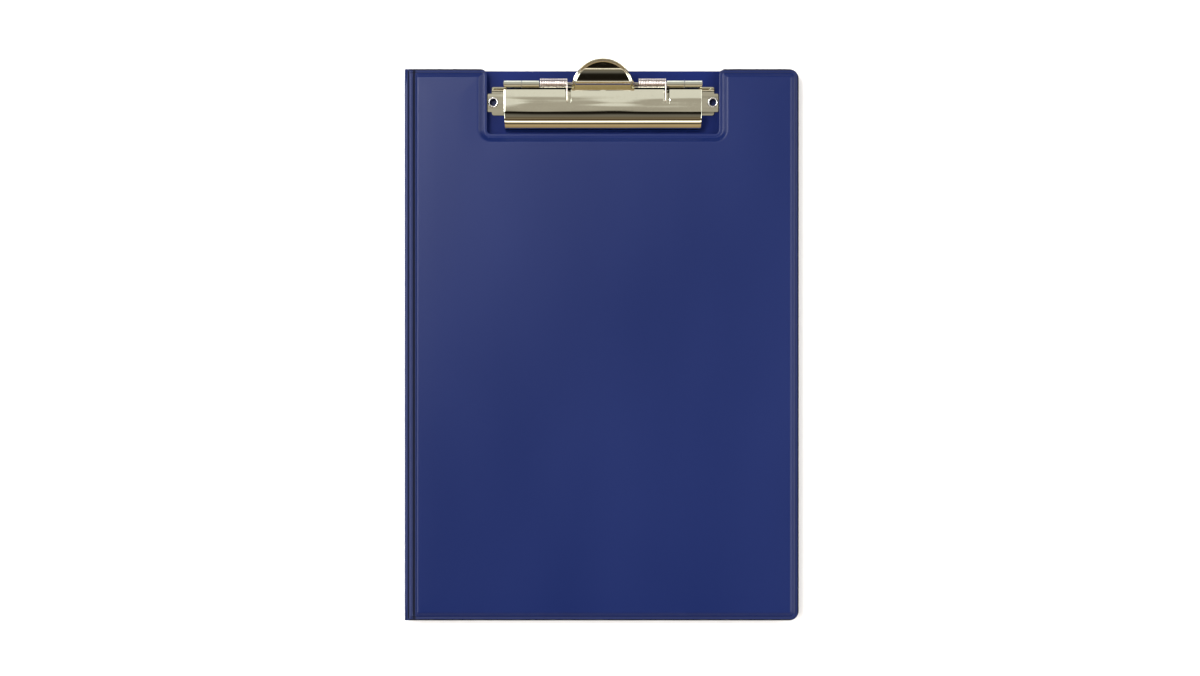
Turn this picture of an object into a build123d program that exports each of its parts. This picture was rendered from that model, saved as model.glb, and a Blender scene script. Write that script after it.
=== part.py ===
from build123d import *
import os
from math import sin, cos, tan, asin, atan2, radians, degrees, hypot, pi, sqrt

# Clipboard folder, closed and lying on its back. Millimetres.
# X runs to the viewer's right, Y towards the clip end, Z up from the rest face.
# The origin is the middle of the closed folder's rest face.

# Folder panels
folder_w = 228.8
cover_h = 320.0
back_short = 0.6           # the back panel's top edge stops this far below the cover's
corner_r = 5.5
board_t = 2.0
foil_t = 0.3
pocket_t = 0.2
paper_gap = 4.6            # clear space for paper in the closed folder
rim_w = 2.0                # flat weld round the panels
slope_w = 2.7              # foil slope from the weld up to the board's face
board_corner_r = 1.2

# Fold band beside the spine, measured from the folder's left edge
crease_from = 1.7
crease_w = 1.2
ridge_w = 1.8
ridge_h = 0.5
groove_w = 1.7
groove_depth = 0.12
band_slope_w = 1.2
fold_gap = 0.1             # running gap between the spine strip and a panel

# Notch in the cover for the clip
clip_x = 0.8               # the clip's middle
notch_w = 134.9
notch_depth = 37.6
notch_corner_r = 2.6
notch_mouth_r = 3.6
mouth_min_r = 0.8

# Pocket inside the cover
pocket_h = 196.0
pocket_margin = 2.0

# Clip: sheet, rod and knuckles
sheet_t = 0.8
rod_r = 1.0
rod_from_top = 9.3         # rod axis below the cover's top edge
rod_over = 0.3             # rod beyond the outer knuckles, each end
bore_clear = 0.05          # radial running fit of rod and knuckle
knuckle_w = 10.0
knuckle_gap = 0.3
jaw_w = 114.4
lip_gap = 0.15             # lip above the writing face
jaw_rear = 2.3             # rod axis to the jaw's rear edge
jaw_flat = 13.4            # flat of the jaw, rear edge to lip curve
lip_r = 11.0
lip_angle = 80.0
lip_taper = 0.8
taper_len = 8.9
seam_angle = 55.0          # where the jaw's knuckle curl ends, from the top
curl_under = 170.0         # how far the base plate's curl goes, from the top

# Thumb tab
tab_r = 17.5
tab_centre = 3.7           # in front of the rod axis
ramp_start = 3.3
ramp_angle = 54.0
tab_bend = -1.6            # top of the ramp, behind the rod axis
dish_slope = 8.0
dish_end = -9.6
dish_angle = 34.0
cheek_h = 1.3              # rim above the tab's dish

# Slots for the spring legs
slot_w = 3.2
slot_len = 7.5

# Springs
wire_d = 0.8
coil_r = 2.2               # centre of the wire
coil_clear = 0.1           # coil to the front of the rod, where the load holds it
coil_turns = 11
spring_len = 16.0
spring_gap = 0.4           # between the coil and its inner knuckle
leg_over = 0.6             # moving leg past the slot's end
leg_clear = 0.05           # moving leg above the slot's front end
fixed_leg_slope = 60.0

# Base plate
base_w = 134.3
base_front = 17.1          # in front of the rod axis
base_bend_r = 1.5
ear_wall_h = 4.5
wall_clear = 2.45          # rear wall's top below the rod axis, between the posts
ear_step_w = 2.4
ear_step_rear = 4.5
ear_step_front = 15.1
ear_corner_r = 1.4

# Hollow rivets
rivet_inset = 3.2          # rivet's axis inside the base plate's end
rivet_y = 9.5              # in front of the rod axis
rivet_bore_r = 2.0
rivet_wall = 0.45
rivet_clear = 0.05
head_r = 3.1
head_h = 0.55
tail_r = 3.6
tail_h = 0.4

# Derived places
left = -folder_w / 2
right = folder_w / 2
top = cover_h / 2
bottom = -cover_h / 2
hinge_x = left + foil_t
panel_left = hinge_x + foil_t + fold_gap
crease_to = crease_from + crease_w
ridge_to = crease_to + ridge_w
groove_to = ridge_to + groove_w
band_w = groove_to + band_slope_w
board_left = left + band_w
shell_h = board_t + foil_t
back_weld = shell_h
face_z = back_weld + foil_t
front_inner = face_z + paper_gap + pocket_t
front_weld = front_inner + foil_t
back_top = top - back_short
notch_bottom = top - notch_depth

bore_r = rod_r + bore_clear
knuckle_r = bore_r + sheet_t
rod_y = top - rod_from_top
lip_rad = radians(lip_angle)
rod_z = face_z + lip_gap + bore_r + lip_r - (lip_r - sheet_t) * cos(lip_rad)
outer_knuckle = jaw_w / 2 - knuckle_w
inner_knuckle = outer_knuckle - knuckle_gap - knuckle_w
coil_end = inner_knuckle - spring_gap
coil_back = coil_r - wire_d / 2 - rod_r - coil_clear
slot_r = slot_w / 2
slot_tip = jaw_rear + slot_len
leg_reach = slot_tip + coil_back
leg_drop = bore_r - leg_clear
leg_share = (coil_r - wire_d / 2) / hypot(leg_reach, leg_drop)
leg_slope = degrees(asin(leg_share) + atan2(leg_drop, leg_reach))
lip_end = jaw_rear + jaw_flat + lip_r * sin(lip_rad)
wall_top = rod_z - wall_clear
barrel_r = rivet_bore_r + rivet_wall
rivet_hole_r = barrel_r + rivet_clear
rivet_reach = base_w / 2 - rivet_inset
rivet_xs = [clip_x - rivet_reach, clip_x + rivet_reach]
rivet_at_y = rod_y - rivet_y
high = 40.0                # taller than the clip, for cutting prisms


def solid_of(shape):
    """The single solid inside a result."""
    solids = shape.solids()
    if len(solids) != 1:
        raise ValueError(f"expected one solid, found {len(solids)}")
    return solids[0]


def box_between(x0, x1, y0, y1, z0, z1):
    """A box from its limits."""
    size = Box(x1 - x0, y1 - y0, z1 - z0)
    return size.moved(Location(((x0 + x1) / 2, (y0 + y1) / 2, (z0 + z1) / 2)))


def drill(x, y, radius, z0, z1):
    """An upright cylinder from z0 to z1."""
    return Cylinder(radius, z1 - z0).moved(Location((x, y, (z0 + z1) / 2)))


# Panels

def panel_face(inset, from_x, to_y, notched, height):
    """Plan of a panel drawn in by inset at its three free edges, at one height."""
    x1 = right - inset
    y0 = bottom + inset
    y1 = to_y - inset
    outer_r = max(corner_r - inset, board_corner_r)
    mouth_r = max(notch_mouth_r - inset, mouth_min_r)
    points = [(from_x, y0), (x1, y0), (x1, y1)]
    radii = [0, outer_r, outer_r]
    if notched:
        half = notch_w / 2 + inset
        floor = notch_bottom - inset
        points += [(clip_x + half, y1), (clip_x + half, floor)]
        points += [(clip_x - half, floor), (clip_x - half, y1)]
        radii += [mouth_r, notch_corner_r + inset, notch_corner_r + inset, mouth_r]
    points += [(from_x, y1)]
    radii += [0]
    edge = FilletPolyline(*points, radius=radii, close=True)
    return make_face(edge).moved(Location((0, 0, height)))


def panel_plate(inset, from_x, to_y, notched, z0, thickness):
    """A flat sheet of a panel's plan."""
    return extrude(panel_face(inset, from_x, to_y, notched, z0), amount=thickness, dir=(0, 0, 1))


def raised(grow, lift, to_y, notched):
    """The swelling of the outer foil over its board, from the weld plane up."""
    low = panel_face(rim_w, left + groove_to, to_y, notched, lift)
    high_face = panel_face(rim_w + slope_w, board_left, to_y, notched, board_t + grow)
    return loft([low.face(), high_face.face()], ruled=True)


def ridge(lift, to_y):
    """The soft ridge of the fold band, a low arch along the spine."""
    x0 = left + crease_to
    x1 = left + ridge_to
    arch = ThreePointArc((x0, 0, lift), ((x0 + x1) / 2, 0, lift + ridge_h), (x1, 0, lift))
    arch_face = make_face(arch + Line((x1, 0, lift), (x0, 0, lift)))
    length = to_y - bottom - 2 * rim_w
    bar = extrude(arch_face, amount=length, dir=(0, 1, 0))
    return bar.moved(Location((0, bottom + rim_w, 0)))


def weld_channel(from_left, width, to_y):
    """A pressed weld line along the fold band."""
    x0 = left + from_left
    return box_between(x0, x0 + width, bottom + rim_w, to_y - rim_w, foil_t - groove_depth, foil_t + 1)


def outer_foil(to_y, notched):
    """An outer foil, with its weld plane at zero height and its face upwards."""
    rim = panel_plate(0, panel_left, to_y, notched, 0, foil_t)
    body = rim + raised(foil_t, foil_t, to_y, notched) + ridge(foil_t, to_y)
    body = body - raised(0, 0, to_y, notched) - ridge(0, to_y)
    body = body - weld_channel(crease_from, crease_w, to_y)
    return solid_of(body - weld_channel(ridge_to, groove_w, to_y))


def front_outer_foil():
    return outer_foil(top, True).moved(Location((0, 0, front_weld)))


def back_outer_foil():
    turned = mirror(outer_foil(back_top, False), about=Plane.XY)
    return turned.moved(Location((0, 0, back_weld)))


def front_inner_foil():
    return panel_plate(0, panel_left, top, True, front_inner, foil_t)


def back_inner_foil():
    sheet = panel_plate(0, panel_left, back_top, False, back_weld, foil_t)
    for x in rivet_xs:
        sheet = sheet - drill(x, rivet_at_y, rivet_hole_r, back_weld - 1, face_z + 1)
    return sheet


def front_board():
    return panel_plate(rim_w + slope_w, board_left, top, True, front_weld, board_t)


def back_board():
    """Board with the rivet holes, each with a seat for the rivet's rolled tail."""
    sheet = panel_plate(rim_w + slope_w, board_left, back_top, False, foil_t, board_t)
    for x in rivet_xs:
        sheet = sheet - drill(x, rivet_at_y, rivet_hole_r, foil_t - 1, back_weld + 1)
        sheet = sheet - drill(x, rivet_at_y, tail_r + rivet_clear, foil_t - 1, foil_t + tail_h)
    return sheet


def cover_pocket():
    """Thin pocket on the cover's inner face, open towards the clip."""
    x0 = board_left + pocket_margin
    return box_between(x0, right - rim_w, bottom + rim_w / 2, bottom + pocket_h,
                       front_inner - pocket_t, front_inner)


def spine_strip(outer):
    """Half of the double strip at the spine, its long edges rounded about the fold axes."""
    rise = front_weld - back_weld
    section = Plane.XZ * Location((hinge_x, (front_weld + back_weld) / 2, 0)) * Rot(0, 0, 90)
    strip = extrude(section * SlotCenterToCenter(rise, 2 * foil_t), amount=cover_h / 2, both=True)
    x0 = left if outer else hinge_x
    return solid_of(strip & box_between(x0, x0 + foil_t, bottom, top, 0, high))


# Clip, drawn in its side view: u is the distance in front of the rod axis and
# w the height above it

def side(u, w):
    """A point of the side view on the plane X = clip_x."""
    return (clip_x, rod_y - u, rod_z + w)


def on_rod(radius, angle):
    """A point round the rod axis, at an angle from the top towards the front."""
    turn = radians(angle)
    return side(radius * sin(turn), radius * cos(turn))


def along_x(face, x0, x1):
    """A side-view face carried along X, between two distances from the clip's middle."""
    bar = extrude(face, amount=x1 - x0, dir=(1, 0, 0))
    return bar.moved(Location((x0, 0, 0)))


def side_polygon(points):
    return make_face(Polyline(*[side(u, w) for u, w in points], close=True))


def curl(start, stop):
    """A knuckle's curl round the rod, from one angle to another."""
    middle = (start + stop) / 2
    outside = ThreePointArc(on_rod(knuckle_r, start), on_rod(knuckle_r, middle), on_rod(knuckle_r, stop))
    inside = ThreePointArc(on_rod(bore_r, stop), on_rod(bore_r, middle), on_rod(bore_r, start))
    ends = Line(outside @ 1, inside @ 0) + Line(inside @ 1, outside @ 0)
    return make_face(outside + inside + ends)


def lip_point(radius, angle):
    turn = radians(angle)
    u = jaw_rear + jaw_flat + radius * sin(turn)
    return side(u, -bore_r - lip_r + radius * cos(turn))


def jaw_section():
    """The jaw's plate and curved lip."""
    start_top = side(jaw_rear, -bore_r)
    start_low = side(jaw_rear, -knuckle_r)
    inner = lip_r - sheet_t
    upper = ThreePointArc(lip_point(lip_r, 0), lip_point(lip_r, lip_angle / 2), lip_point(lip_r, lip_angle))
    lower = ThreePointArc(lip_point(inner, lip_angle), lip_point(inner, lip_angle / 2), lip_point(inner, 0))
    lines = Line(start_top, upper @ 0) + upper + Line(upper @ 1, lower @ 0) + lower
    return make_face(lines + Line(lower @ 1, start_low) + Line(start_low, start_top))


def tab_line(lift):
    """The tab's side view, lifted square to the sheet: ramp, dish and upturned end."""
    ramp = radians(ramp_angle)
    slope = radians(dish_slope)
    end = radians(dish_angle)
    bend_w = -bore_r + (ramp_start - tab_bend) * tan(ramp)
    dish_w = bend_w + (tab_bend - dish_end) * tan(slope)
    tip = tab_centre - tab_r - 1
    tip_w = dish_w + (dish_end - tip) * tan(end)
    foot = (ramp_start - lift * tan(ramp / 2), -bore_r + lift)
    mid = (ramp + slope) / 2
    bend_shift = lift / cos((ramp - slope) / 2)
    bend = (tab_bend + bend_shift * sin(mid), bend_w + bend_shift * cos(mid))
    rise = (slope + end) / 2
    dish_shift = lift / cos((end - slope) / 2)
    dish = (dish_end + dish_shift * sin(rise), dish_w + dish_shift * cos(rise))
    last = (tip + lift * sin(end), tip_w + lift * cos(end))
    return [foot, bend, dish, last]


def tab_band(low, high_lift):
    """The band between two lifts of the tab's line, the full width of the tab."""
    under = tab_line(low)
    over = tab_line(high_lift)
    root = [(ramp_start + sheet_t, -bore_r + low), (ramp_start + sheet_t, -bore_r + high_lift)]
    outline = [root[0]] + under + over[::-1] + [root[1]]
    return along_x(side_polygon(outline), -tab_r - 1, tab_r + 1)


def tab_plan(radius):
    """The tab's half-round plan, from its centre backwards, as an upright prism."""
    disc = drill(clip_x, rod_y - tab_centre, radius, 0, high)
    y0 = rod_y - ramp_start - sheet_t
    return disc & box_between(clip_x - tab_r, clip_x + tab_r, y0, y0 + 2 * tab_r, 0, high)


def thumb_tab():
    dish = tab_band(-sheet_t, 0) & tab_plan(tab_r)
    ring = tab_plan(tab_r) - tab_plan(tab_r - sheet_t)
    return dish + (tab_band(-sheet_t, cheek_h) & ring)


def slot_cut(x):
    """A leg slot, open at the jaw's rear edge, round at its front end."""
    y_end = rod_y - slot_tip + slot_r
    cut = box_between(x - slot_r, x + slot_r, y_end, rod_y - jaw_rear + 0.1, rod_z - knuckle_r - 0.5, high)
    return cut + drill(x, y_end, slot_r, rod_z - knuckle_r - 0.5, high)


def lip_trim(sign):
    """The wedge that draws the lip's end in."""
    x = clip_x + sign * jaw_w / 2
    y1 = rod_y - lip_end + taper_len
    y0 = rod_y - lip_end - 1
    outline = Polyline((x, y1), (x - sign * lip_taper, y0), (x + sign * 5, y0), (x + sign * 5, y1), close=True)
    return extrude(make_face(outline), amount=high, dir=(0, 0, 1))


def spring_spans():
    """Left and right limit of each coil, from the clip's middle."""
    return [(-coil_end, -coil_end + spring_len), (coil_end - spring_len, coil_end)]


def leg_offset(span):
    """Where a spring's moving leg lies, from the clip's middle."""
    return span[1] - wire_d / 2


def slot_xs():
    """Each slot holds its leg just inside its left wall."""
    return [clip_x + leg_offset(span) + slot_r - wire_d for span in spring_spans()]


def clip_jaw():
    half = jaw_w / 2
    jaw = along_x(jaw_section(), -half, half)
    tongue = side_polygon([(0, -bore_r), (0, -knuckle_r), (jaw_rear + 1, -knuckle_r), (jaw_rear + 1, -bore_r)])
    section = curl(seam_angle - 360, -180) + tongue
    for sign in (-1, 1):
        jaw = jaw - lip_trim(sign)
        x0 = min(sign * inner_knuckle, sign * (inner_knuckle + knuckle_w))
        jaw = jaw + along_x(section, x0, x0 + knuckle_w)
    jaw = jaw + thumb_tab()
    for x in slot_xs():
        jaw = jaw - slot_cut(x)
    return solid_of(jaw)


def base_section(wall_z):
    """The base plate's flat with its rear wall turned up to a given height."""
    low = face_z - rod_z
    rear = bore_r
    out_r = base_bend_r + sheet_t
    cu = rear + out_r
    cw = low + out_r
    bend = radians(45)
    outer = ThreePointArc(side(cu, low), side(cu - out_r * sin(bend), cw - out_r * cos(bend)), side(rear, cw))
    inner = ThreePointArc(side(rear + sheet_t, cw),
                          side(cu - base_bend_r * sin(bend), cw - base_bend_r * cos(bend)),
                          side(cu, low + sheet_t))
    lines = Line(side(base_front, low), outer @ 0) + outer
    lines = lines + Line(outer @ 1, side(rear, wall_z - rod_z))
    lines = lines + Line(side(rear, wall_z - rod_z), side(rear + sheet_t, wall_z - rod_z))
    lines = lines + Line(side(rear + sheet_t, wall_z - rod_z), inner @ 0) + inner
    lines = lines + Line(inner @ 1, side(base_front, low + sheet_t))
    return make_face(lines + Line(side(base_front, low + sheet_t), side(base_front, low)))


def base_plan():
    """Plan of the base plate with its stepped ears, as an upright prism."""
    half = base_w / 2
    inner_half = half - ear_step_w
    y_rear = rod_y - bore_r
    y_front = rod_y - base_front
    y_step_rear = rod_y - ear_step_rear
    y_step_front = rod_y - ear_step_front
    right_side = [(inner_half, y_rear), (inner_half, y_step_rear), (half, y_step_rear),
                  (half, y_step_front), (inner_half, y_step_front), (inner_half, y_front)]
    left_side = [(-x, y) for x, y in right_side[::-1]]
    radii = [ear_corner_r, 0.3, ear_corner_r / 2, ear_corner_r / 2, 0.3, ear_corner_r]
    points = [(clip_x + x, y) for x, y in right_side + left_side]
    outline = FilletPolyline(*points, radius=radii + radii[::-1], close=True)
    return extrude(make_face(outline), amount=high, dir=(0, 0, 1))


def clip_base_plate():
    half = base_w / 2
    plate = along_x(base_section(face_z + ear_wall_h), -half, half) & base_plan()
    plate = plate + along_x(base_section(wall_top), -jaw_w / 2, jaw_w / 2)
    post = curl(90, -curl_under) + side_polygon([(bore_r, 0), (knuckle_r, 0), (knuckle_r, -wall_clear - 1),
                                                (bore_r, -wall_clear - 1)])
    for x0 in (-jaw_w / 2, outer_knuckle):
        plate = plate + along_x(post, x0, x0 + knuckle_w)
    for x in rivet_xs:
        plate = plate - drill(x, rivet_at_y, rivet_hole_r, face_z - 1, face_z + sheet_t + 1)
    return solid_of(plate)


def hinge_rod():
    length = jaw_w + 2 * rod_over
    rod = Cylinder(rod_r, length, rotation=(0, 90, 0))
    return rod.moved(Location((clip_x, rod_y, rod_z)))


def rivet(x):
    """Hollow rivet: rolled head on the ear, barrel, and tail rolled into the board."""
    head_z = face_z + sheet_t
    tail_z = foil_t
    dome = (head_r + barrel_r) / 2
    lines = Line((rivet_bore_r, tail_z), (tail_r, tail_z))
    lines = lines + Line((tail_r, tail_z), (tail_r, tail_z + tail_h))
    lines = lines + Line((tail_r, tail_z + tail_h), (barrel_r, tail_z + tail_h))
    lines = lines + Line((barrel_r, tail_z + tail_h), (barrel_r, head_z))
    lines = lines + Line((barrel_r, head_z), (head_r, head_z))
    lines = lines + ThreePointArc((head_r, head_z), (dome, head_z + head_h), (rivet_bore_r, head_z - sheet_t / 2))
    lines = lines + Line((rivet_bore_r, head_z - sheet_t / 2), (rivet_bore_r, tail_z))
    profile = Plane.XZ * make_face(lines)
    return revolve(profile, axis=Axis.Z).moved(Location((x, rivet_at_y, 0)))


# Springs

def coil_point(angle, x):
    """A point on the coil, at an angle from the top towards the front."""
    turn = radians(angle)
    u = -coil_back + coil_r * sin(turn)
    return Vector(x, rod_y - u, rod_z + coil_r * cos(turn))


def coil_tangent(angle, climb):
    """The wire's direction there, climbing along X by a share of its length."""
    turn = radians(angle)
    return Vector(climb, -cos(turn), -sin(turn)).normalized()


def biarc(p0, t0, p1, t1):
    """Two tangent arcs from p0 to p1 that meet smoothly."""
    v = p1 - p0
    t = t0 + t1
    k = 2 * (1 - t0.dot(t1))
    d = (-v.dot(t) + sqrt(v.dot(t) ** 2 + k * v.dot(v))) / k
    middle = (p0 + p1 + (t0 - t1) * d) * 0.5
    first = Edge.make_tangent_arc(p0, t0, middle)
    second = Edge.make_tangent_arc(middle, first % 1, p1)
    return [first, second]


def spring_edges(span):
    """The wire's centre line: fixed leg, coil in half turns, moving leg."""
    x0 = clip_x + span[0] + wire_d / 2
    x1 = clip_x + leg_offset(span)
    a0 = -180 + fixed_leg_slope
    a1 = coil_turns * 360 + leg_slope
    steps = round((a1 - a0) / 180)
    climb = (x1 - x0) / (radians(a1 - a0) * coil_r)
    points = []
    for i in range(steps + 1):
        share = i / steps
        angle = a0 + (a1 - a0) * share
        slope = climb if 0 < i < steps else 0
        points.append((coil_point(angle, x0 + (x1 - x0) * share), coil_tangent(angle, slope)))
    edges = []
    for (p0, t0), (p1, t1) in zip(points, points[1:]):
        edges += biarc(p0, t0, p1, t1)
    start, along = points[0]
    fixed_run = (start.Y - (rod_y - bore_r) - wire_d / 2) / cos(radians(fixed_leg_slope)) - wire_d / 2
    stop, away = points[-1]
    moving_run = (stop.Y - (rod_y - slot_tip - leg_over)) / cos(radians(leg_slope))
    lead = Edge.make_line(start - along * fixed_run, start)
    tail = Edge.make_line(stop, stop + away * moving_run)
    return [lead] + edges + [tail]


def least_gap(edges):
    """The least distance between one turn of the wire and the next, surface to surface."""
    samples = []
    run = 0.0
    for edge in edges:
        for i in range(12):
            samples.append((run + edge.length * i / 12, edge @ (i / 12)))
        run += edge.length
    apart = pi * coil_r
    gaps = [(a - b).length for i, (s, a) in enumerate(samples) for r, b in samples[i + 1:] if r - s > apart]
    return min(gaps) - wire_d


def spring(span):
    edges = spring_edges(span)
    path = Wire(edges)
    start = Plane(origin=path @ 0, z_dir=path % 0)
    wire = sweep(start * Circle(wire_d / 2), path=path)
    tube = solid_of(wire)
    print("spring: least gap", round(least_gap(edges), 3), "volume to section times length",
          round(tube.volume / (pi * wire_d ** 2 / 4 * path.length), 4))
    return tube


def build():
    os.makedirs("parts", exist_ok=True)
    left_span, right_span = spring_spans()
    nodes = {
        "back_board": back_board(),
        "back_outer_foil": back_outer_foil(),
        "back_inner_foil": back_inner_foil(),
        "front_board": front_board(),
        "front_outer_foil": front_outer_foil(),
        "front_inner_foil": front_inner_foil(),
        "cover_pocket": cover_pocket(),
        "spine_outer_foil": spine_strip(True),
        "spine_inner_foil": spine_strip(False),
        "clip_base_plate": clip_base_plate(),
        "clip_jaw": clip_jaw(),
        "hinge_rod": hinge_rod(),
        "rivet_left": rivet(rivet_xs[0]),
        "rivet_right": rivet(rivet_xs[1]),
        "spring_left": spring(left_span),
        "spring_right": spring(right_span),
    }
    for name, shape in nodes.items():
        export_step(shape, f"parts/{name}.step")
    print("rod axis y", round(rod_y, 3), "z", round(rod_z, 3), "fold x", round(hinge_x, 3),
          "fold z", round(back_weld, 3), round(front_weld, 3))


build()
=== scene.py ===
import math

import bpy
import numpy as np
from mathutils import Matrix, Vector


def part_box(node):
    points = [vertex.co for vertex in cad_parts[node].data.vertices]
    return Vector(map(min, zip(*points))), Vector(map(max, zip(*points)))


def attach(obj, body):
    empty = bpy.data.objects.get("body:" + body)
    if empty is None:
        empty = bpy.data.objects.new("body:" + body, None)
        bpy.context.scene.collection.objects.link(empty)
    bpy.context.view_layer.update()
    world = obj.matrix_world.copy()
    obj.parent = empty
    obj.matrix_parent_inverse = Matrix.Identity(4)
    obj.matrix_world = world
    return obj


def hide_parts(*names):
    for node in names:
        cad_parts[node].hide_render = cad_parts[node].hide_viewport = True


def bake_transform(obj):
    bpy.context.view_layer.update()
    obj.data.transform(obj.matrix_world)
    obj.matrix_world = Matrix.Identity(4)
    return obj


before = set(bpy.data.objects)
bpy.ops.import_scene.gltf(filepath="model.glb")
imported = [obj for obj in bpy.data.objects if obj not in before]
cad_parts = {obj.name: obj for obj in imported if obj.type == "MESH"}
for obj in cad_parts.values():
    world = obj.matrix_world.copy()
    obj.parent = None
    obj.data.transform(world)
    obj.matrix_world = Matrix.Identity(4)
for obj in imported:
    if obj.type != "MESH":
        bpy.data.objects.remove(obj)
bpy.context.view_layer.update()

bl_info = {
    "name": "Clipboard Folder",
    "version": (1, 0, 0),
    "blender": (4, 5, 0),
    "location": "View3D > Sidebar > Clipboard",
    "description": "Builds the looks of a foil-covered clipboard folder round its packed frame",
    "category": "Object",
}

# The frame's own places, in metres
FRONT_LOW, FRONT_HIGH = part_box("front_outer_foil")
BACK_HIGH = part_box("back_outer_foil")[1]
SPINE_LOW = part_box("spine_outer_foil")[0]
ROD_LOW, ROD_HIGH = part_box("hinge_rod")
JAW_LOW, JAW_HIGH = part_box("clip_jaw")
RIVET_LOW, RIVET_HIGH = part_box("rivet_left")
INNER_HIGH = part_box("back_inner_foil")[1]
LEFT, RIGHT, BOTTOM = SPINE_LOW[0], FRONT_HIGH[0], FRONT_LOW[1]
CLIP_X = (JAW_LOW[0] + JAW_HIGH[0]) / 2
ROD_Y = (ROD_LOW[1] + ROD_HIGH[1]) / 2
ROD_Z = (ROD_LOW[2] + ROD_HIGH[2]) / 2
FRONT_WELD, BACK_WELD = FRONT_LOW[2], BACK_HIGH[2]

# The photograph's frame: its width, one pixel at the height of the front weld, and the camera's place
PHOTO_PIXELS = 1200
PIXEL = 0.0005805
CAMERA = (-0.00091, 0.0039, 1.2)

# Fine measures of the foil, from a panel's free edge unless a note says otherwise
SMALLEST_CORNER, SMALLEST_MOUTH = 0.0006, 0.0005  # radii that a ring's corners and notch keep
BEAD_FROM, BEAD_WIDE = 0.0003, 0.0014  # the weld's bead
DIP_FROM, DIP_WIDE = 0.0016, 0.0006  # the thin dip behind the bead
EDGE_WIDE = 0.0003  # the weld's dropped outermost edge
PILLOW_EASE = 0.0018  # behind the rim, over which the foil's drop sets in
LINES_FROM, LINES_EASE = 0.0006, 0.0010  # where the ridge and the grooves set in
DARK_EDGE, DARK_EDGE_TO, DARK_EDGE_EASE = 0.95, 0.0005, 0.0006  # painted shade on the weld's outer edge, and its share
DARK_LINE, DARK_LINE_FROM, DARK_LINE_WIDE = 0.5, 0.0015, 0.0009  # painted shade on the weld's inner line, and its share
FADE_FROM, FADE_EASE = 0.0004, 0.0008  # where the painted shade of the crease and the groove fades
SKIN_SHARE, STRIP_SHARE = 0.9, 0.95  # of the foil's thickness, so that a skin stays clear of its board
FOLD_UNDER = 0.00004  # how far a fold's face lies under the panel's foil
FOLD_SHORT = 0.0001  # how far before the crease a fold ends

# Fine measures of the clip
TINY = 0.00001  # a step between two neighbouring columns of points
CUT_EDGE = 0.0002  # radius of the sheet's rounded edges
ROLLED_WIDE = 0.0005  # the jaw's end, over which its face drops
WAVE_LONG, WAVE_SHORT = 0.0115, 0.0052  # the two slow waves, in metres a radian
WAVE_BEHIND, WAVE_OVER = 0.0065, 0.009  # where the waves start behind the lip, and their run
TAPER_REACH = 1.3  # the run over which the lip's ends are drawn in, in lip radii
TAB_LAP, TAB_INSET = 0.7, 0.6  # the plate under the tab's foot and the tab's edge, in sheets
KNUCKLE_STEP, KNUCKLE_RISE = 0.00003, 0.00008  # a knuckle's first step, and its rise at half way
RIM_FROM, RIM_WIDE, RIM_WIDER = 0.0003, 0.0008, 0.0009  # the rim's inner slope, wider at the tab's sides
RIM_LOWER = 0.35  # share by which the rim is lower at the tab's sides
ROLL_LESS, ROLL_WIDE = 0.0004, 0.0012  # the rolled edge, which drops less at the tab's sides
FEET_FROM, FEET_FADE = 0.0002, 0.0022  # where the rim fades at the tab's feet
RIVET_WALL, HEAD_RISE, TAIL_THICK = 0.00045, 0.00055, 0.0004
LEG_IN_SLOT = 0.0012  # from a slot's left edge to the right end of its spring
TURN_POINTS = 24  # points on each turn of a spring
LEG_START = 0.0003  # from a coil's end to the first point of its leg


def length(name, words, value):
    """A size property in metres."""
    return bpy.props.FloatProperty(name=name, description=words, default=value, unit="LENGTH", precision=5)


def angle(name, words, degrees):
    """An angle property, given in degrees."""
    return bpy.props.FloatProperty(name=name, description=words, default=math.radians(degrees),
                                   subtype="ANGLE")


def colour(name, words, value):
    """A colour property."""
    return bpy.props.FloatVectorProperty(name=name, description=words, default=value, size=3, subtype="COLOR",
                                         min=0, max=1)


class FoilSizes(bpy.types.PropertyGroup):
    """Sizes of the covers' foil skins."""
    thick: length("Foil", "Thickness of the foil", 0.0003)
    swell: length("Swelling", "Height of the board's face over the weld", 0.0020)
    rim: length("Rim", "Width of the flat weld", 0.0020)
    slope: length("Slope", "Width of the foil's slope up to the board", 0.0031)
    corner: length("Corner", "Radius of the panel's corners", 0.0055)
    crease_from: length("Crease", "Left edge to the fold's crease", 0.0017)
    crease: length("Crease width", "Width of the crease", 0.0012)
    ridge: length("Ridge width", "Width of the soft ridge beside the crease", 0.0018)
    ridge_height: length("Ridge height", "Height of the soft ridge", 0.0005)
    groove: length("Groove width", "Width of the weld groove beside the ridge", 0.0017)
    band_slope: length("Band slope", "Width of the slope from the groove to the board", 0.0012)
    notch: length("Notch width", "Width of the cover's notch", 0.1349)
    notch_depth: length("Notch depth", "Depth of the cover's notch", 0.0376)
    notch_corner: length("Notch corner", "Radius of the notch's inner corners", 0.0026)
    notch_mouth: length("Notch mouth", "Radius of the notch's outer corners", 0.0036)
    fold: length("Fold radius", "Outer radius of the folds at the spine", 0.0014)
    press: length("Press", "Depth of the crease and the weld groove", 0.00022)
    pillow: length("Pillow", "Drop of the foil near the board's edges", 0.00016)
    pillow_from: length("Pillow start", "Free edge to where the drop starts to fade", 0.0035)
    pillow_reach: length("Pillow reach", "How far inwards the drop fades", 0.0085)
    bead: length("Bead", "Height of the bead along the weld", 0.00006)
    edge: length("Edge", "Drop of the weld's outermost edge", 0.00012)


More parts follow.
